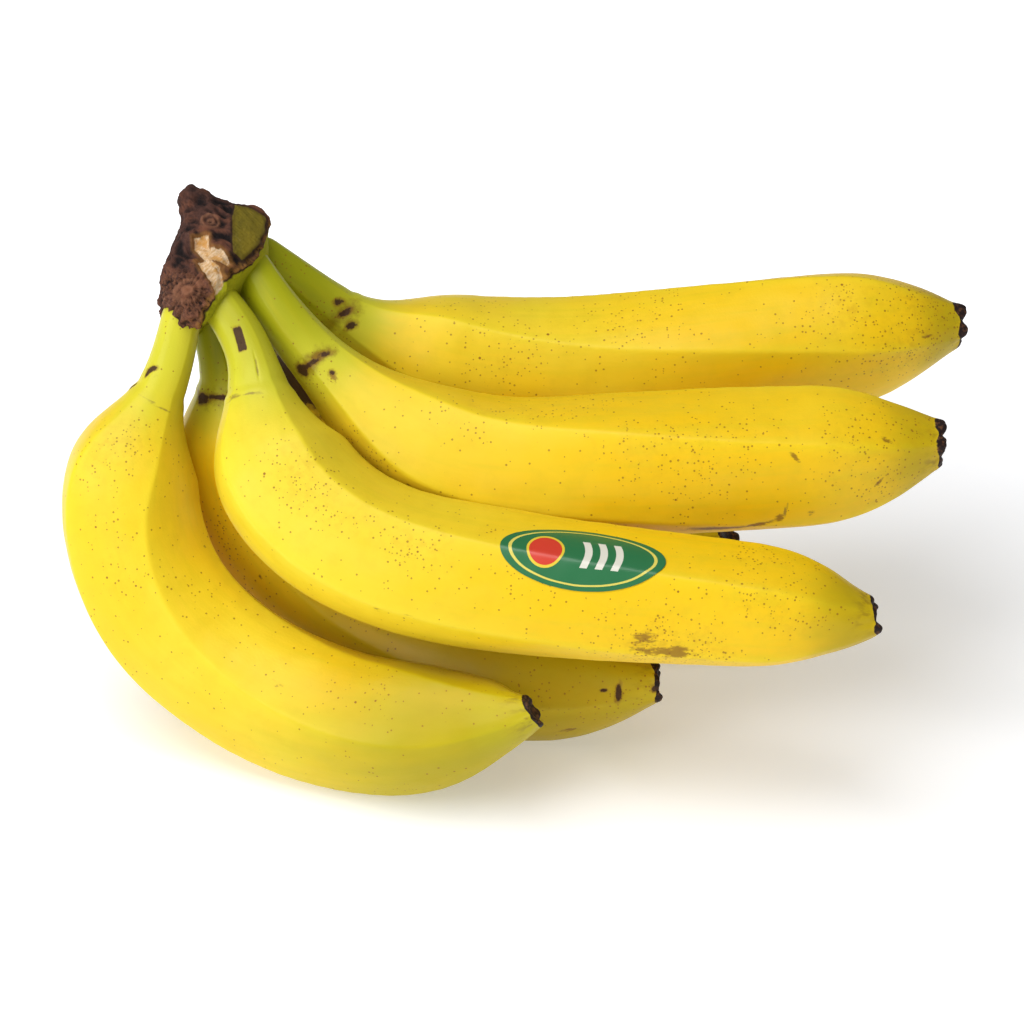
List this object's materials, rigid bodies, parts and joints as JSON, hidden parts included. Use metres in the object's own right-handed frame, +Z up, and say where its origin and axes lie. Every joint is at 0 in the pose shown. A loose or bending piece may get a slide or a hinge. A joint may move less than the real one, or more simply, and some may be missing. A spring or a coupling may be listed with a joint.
{
  "type": "bunch of bananas",
  "caption": "Cut bunch of curved ripe bananas, joined by their stems to one dried crown, lying on its lower row.",
  "frame": {"origin": "on the surface that the bunch lies on, under the middle of its bounding box", "axes": "+X from the crown towards the tips, +Y from the front banana towards the back one, +Z up"},
  "size_m": [0.2314, 0.1275, 0.128],
  "materials": {
    "skin": "ripe banana skin, satin and waxy, yellow with green stems and brown specks",
    "crown": "dried dark brown fibrous cut end, matt",
    "label": "thin plain green coated paper sticker"
  },
  "bodies": {
    "root": {"crown": "crown", "banana_front": "skin", "banana_under": "skin", "banana_middle": "skin", "banana_upper": "skin", "banana_back": "skin", "banana_hidden": "skin", "label": "label"}
  },
  "joints": []
}
